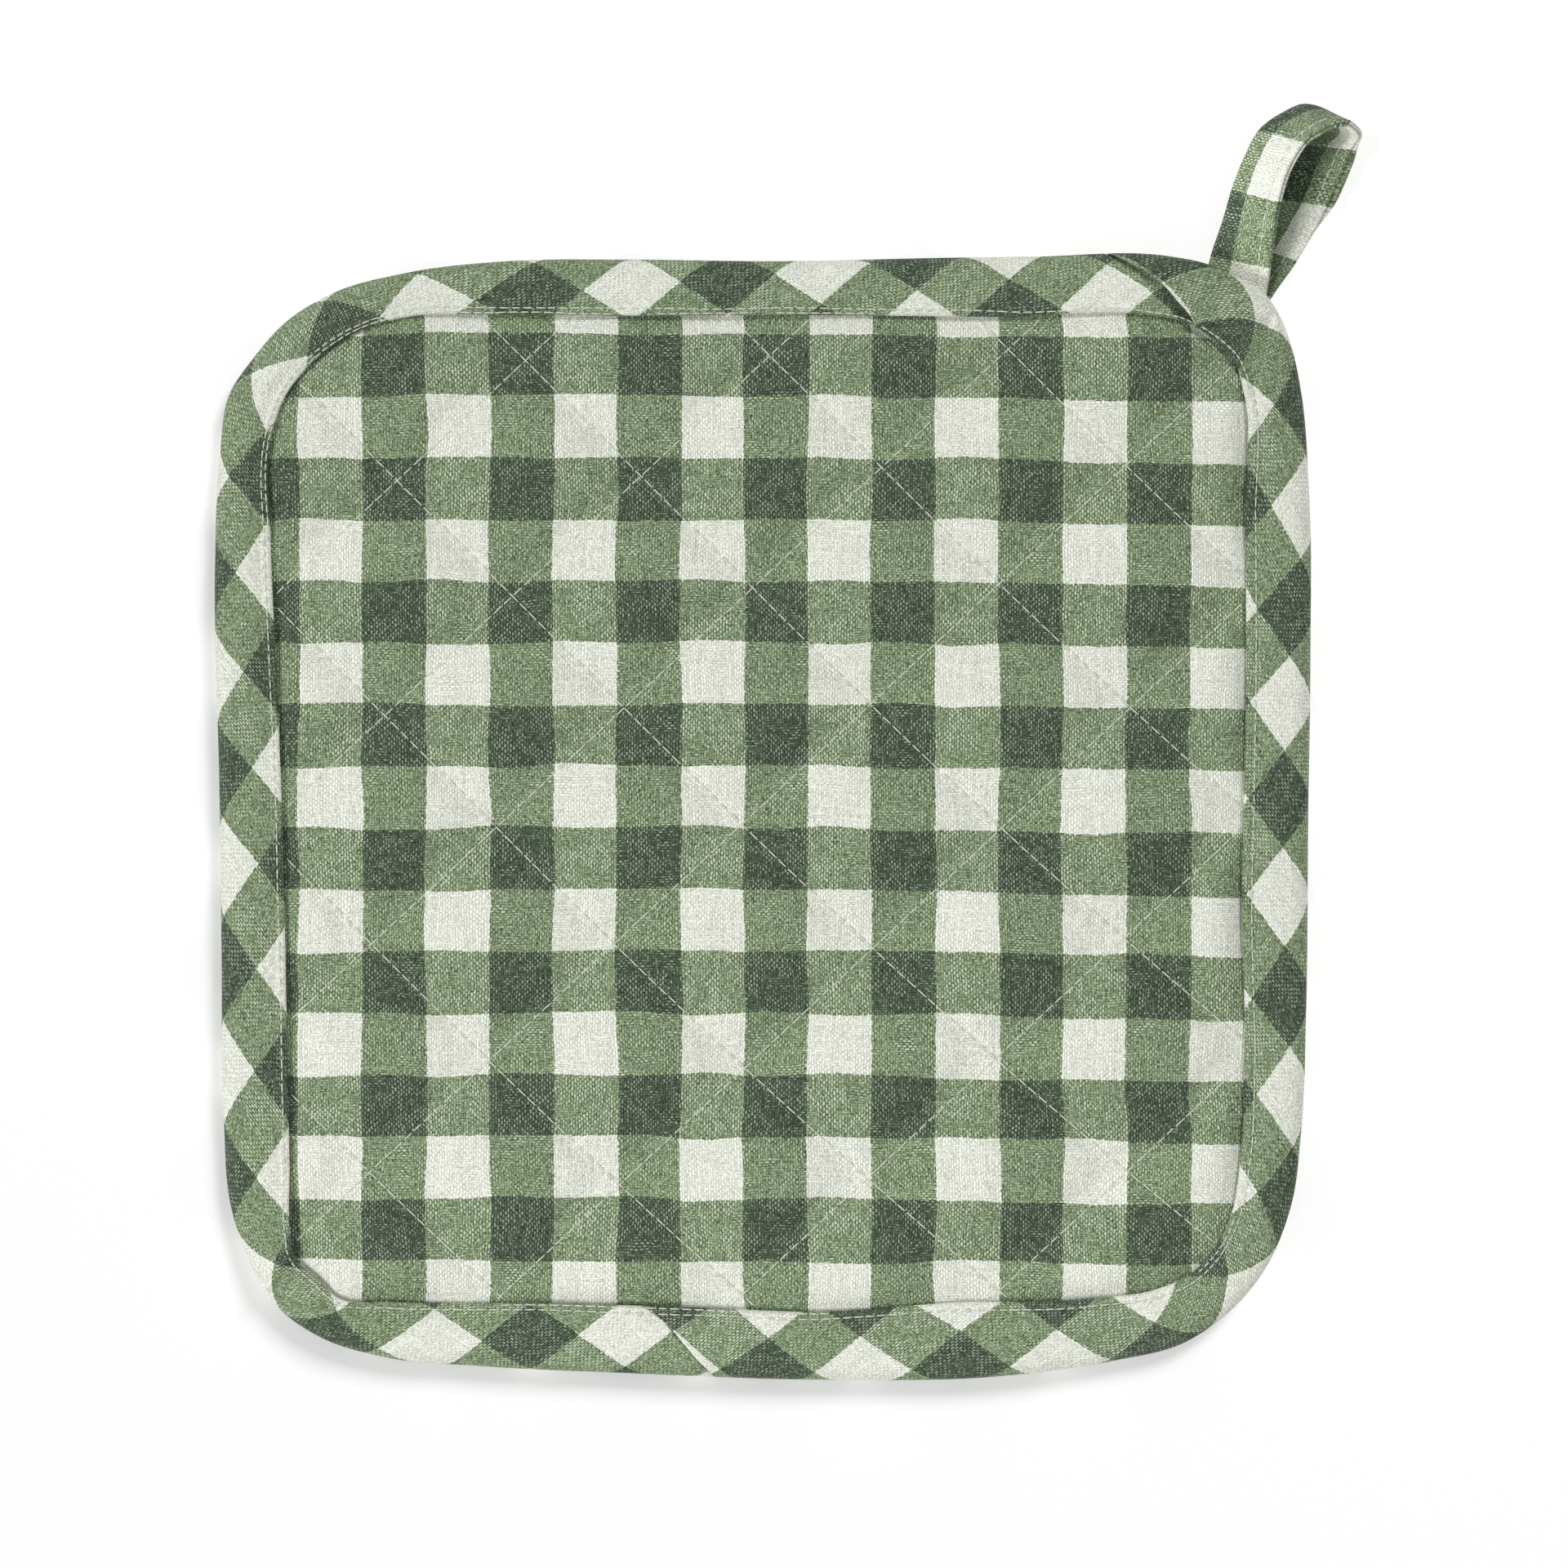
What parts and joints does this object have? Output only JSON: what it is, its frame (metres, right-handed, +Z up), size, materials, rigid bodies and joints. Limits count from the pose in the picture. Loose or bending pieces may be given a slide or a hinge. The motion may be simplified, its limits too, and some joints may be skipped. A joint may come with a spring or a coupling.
{
  "type": "quilted pot holder",
  "caption": "Square quilted pot holder in checked cloth, with rounded corners, a bias-bound edge and a hanging loop at a corner, lying flat.",
  "frame": {"origin": "middle of the whole piece's box, on the surface it lies on", "axes": "+Z up out of the quilted front, +Y along the longer side towards the loop's corner, +X to the right seen from the front"},
  "size_m": [0.2124, 0.237, 0.0159],
  "materials": {
    "pad_cloth": "plain-woven cotton and linen gingham, matte",
    "binding_cloth": "the same gingham on the bias, matte",
    "loop_cloth": "the same gingham on the straight grain, matte",
    "sewing_thread": "cotton sewing thread, slightly glossy"
  },
  "bodies": {
    "root": {"quilted_pad": "pad_cloth", "edge_binding": "binding_cloth", "hanging_loop": "loop_cloth"}
  },
  "joints": []
}
